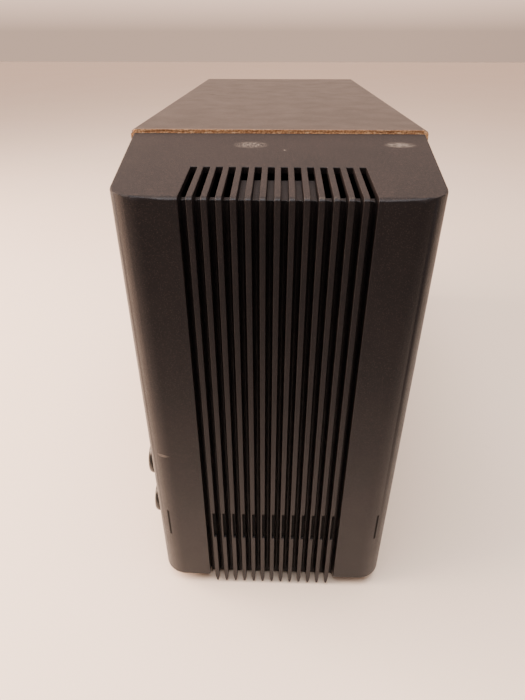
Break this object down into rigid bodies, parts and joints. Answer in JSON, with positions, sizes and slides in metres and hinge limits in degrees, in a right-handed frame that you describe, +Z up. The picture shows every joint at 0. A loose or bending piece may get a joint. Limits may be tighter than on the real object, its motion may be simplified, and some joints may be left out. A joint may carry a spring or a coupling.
{
  "type": "table radio receiver",
  "caption": "Deep, narrow mains table radio: vinyl-wrapped sleeve, finned and slotted moulded end cover, side tuning and volume knobs, dial, loudspeaker and rear sockets.",
  "frame": {"origin": "centre of the footprint, on the surface that the rubber feet stand on", "axes": "+Z up, -X towards the listener (knobs, dial and grille side), -Y towards the finned end cover"},
  "size_m": [0.15, 0.408, 0.244],
  "materials": {
    "baffle_board": "black stained board, matt",
    "bezel_metal": "satin anodised aluminium",
    "bush_brass": "turned brass",
    "can_aluminium": "drawn aluminium can",
    "capacitor_sleeve": "blue shrink sleeve over a can",
    "clear_glass": "clear glass",
    "clear_window": "clear acrylic",
    "component_black": "black moulded plastic",
    "cone_paper": "black pressed paper pulp",
    "copper_winding": "enamelled copper wire",
    "cord_nylon": "woven nylon drive cord",
    "core_steel": "varnished steel laminations",
    "cream_plastic": "cream moulded plastic",
    "far_panel_board": "black painted hardboard, matt",
    "foot_rubber": "black rubber, matt",
    "grille_cloth": "dark woven cloth",
    "grille_plastic": "black moulded plastic, satin",
    "knob_plastic": "glossy black moulded plastic",
    "laminate_board": "brown phenolic laminate",
    "magnet_ferrite": "sintered ferrite, matt",
    "moulded_cover": "black moulded polystyrene, fine sparkle grain, satin",
    "nickel_plate": "nickel plate",
    "plate_aluminium": "thin aluminium vanes",
    "plated_steel": "zinc plated sheet steel",
    "pointer_red": "orange-red painted steel",
    "pressed_steel": "dark grey painted pressed steel",
    "red_plastic": "red moulded plastic",
    "resistor_ceramic": "tan lacquered ceramic",
    "scale_plate": "black painted scale plate with pale graduations",
    "screw_steel": "zinc plated steel",
    "sink_aluminium": "anodised extruded aluminium",
    "softwood": "raw softwood",
    "spider_cloth": "resin-stiffened woven cloth",
    "surround_foam": "black foam rubber roll",
    "vinyl_wrap": "black grained vinyl wrap over chipboard, satin"
  },
  "bodies": {
    "cabinet": {"sleeve": "vinyl_wrap", "end_cover": "moulded_cover", "far_panel": "far_panel_board", "corner_battens": "softwood", "panel_screws": "screw_steel", "cover_screws": "screw_steel", "feet": "foot_rubber", "baffle_board": "baffle_board", "speaker_grille": "grille_plastic", "grille_cloth": "grille_cloth", "speaker_basket": "pressed_steel", "speaker_magnet": "magnet_ferrite", "speaker_bolts": "screw_steel", "chassis": "plated_steel", "chassis_pillars": "plated_steel", "circuit_board": "laminate_board", "if_transformers": "can_aluminium", "crystal_diode": "clear_glass", "signal_transistors": "component_black", "resistors": "resistor_ceramic", "small_capacitors": "capacitor_sleeve", "heat_sink": "sink_aluminium", "output_transistors": "can_aluminium", "bridge_rectifier": "component_black", "smoothing_capacitors": "capacitor_sleeve", "transformer_core": "core_steel", "transformer_winding": "copper_winding", "ferrite_rod": "magnet_ferrite", "aerial_coil": "copper_winding", "rod_clips": "cream_plastic", "connection_panel": "component_black", "aerial_socket": "red_plastic", "earth_socket": "component_black", "earphone_jack": "nickel_plate", "mains_inlet": "component_black", "inlet_pins": "nickel_plate", "fuse_holder": "component_black", "dial_bezel": "bezel_metal", "dial_window": "clear_window", "dial_scale": "scale_plate", "dial_lamp": "clear_glass", "lamp_holder": "plated_steel", "pointer_rail": "plated_steel", "dial_cord": "cord_nylon", "cord_pulleys": "cream_plastic", "capacitor_frame": "plated_steel", "capacitor_stator": "plate_aluminium", "tuning_bush": "bush_brass", "volume_pot": "plated_steel", "speaker_surround": "surround_foam", "speaker_spider": "spider_cloth"},
    "cone": {"speaker_cone": "cone_paper", "voice_coil": "copper_winding"},
    "tuning_shaft": {"tuning_knob": "knob_plastic", "tuning_spindle": "screw_steel"},
    "drum": {"tuning_drum": "cream_plastic", "capacitor_rotor": "plate_aluminium"},
    "pointer": {"dial_pointer": "pointer_red"},
    "volume_shaft": {"volume_knob": "knob_plastic", "volume_shaft": "screw_steel"}
  },
  "joints": [
    {"name": "tuning_turn", "type": "hinge", "parent": "cabinet", "child": "tuning_shaft", "pos_m": [-0.075, -0.162, 0.064], "axis": [1, 0, 0], "range_deg": [-447, 1043]},
    {"name": "drum_turn", "type": "hinge", "parent": "cabinet", "child": "drum", "pos_m": [-0.0485, -0.112, 0.105], "axis": [1, 0, 0], "range_deg": [-126.5, 54.5]},
    {"name": "pointer_slide", "type": "slide", "parent": "cabinet", "child": "pointer", "axis": [0, 0, 1], "range_m": [-0.0234, 0.0546]},
    {"name": "volume_turn", "type": "hinge", "parent": "cabinet", "child": "volume_shaft", "pos_m": [-0.075, -0.162, 0.03], "axis": [1, 0, 0], "range_deg": [0, 300]},
    {"name": "cone_travel", "type": "slide", "parent": "cabinet", "child": "cone", "axis": [-1, 0, 0], "range_m": [-0.0015, 0.0015], "stiffness_N_per_m": 2500, "deforming": ["speaker_surround", "speaker_spider"]}
  ],
  "couplings": [
    {"joint": "tuning_turn", "follows": "pointer_slide", "rad_per_m": 333.33},
    {"joint": "drum_turn", "follows": "pointer_slide", "rad_per_m": -40.323}
  ]
}
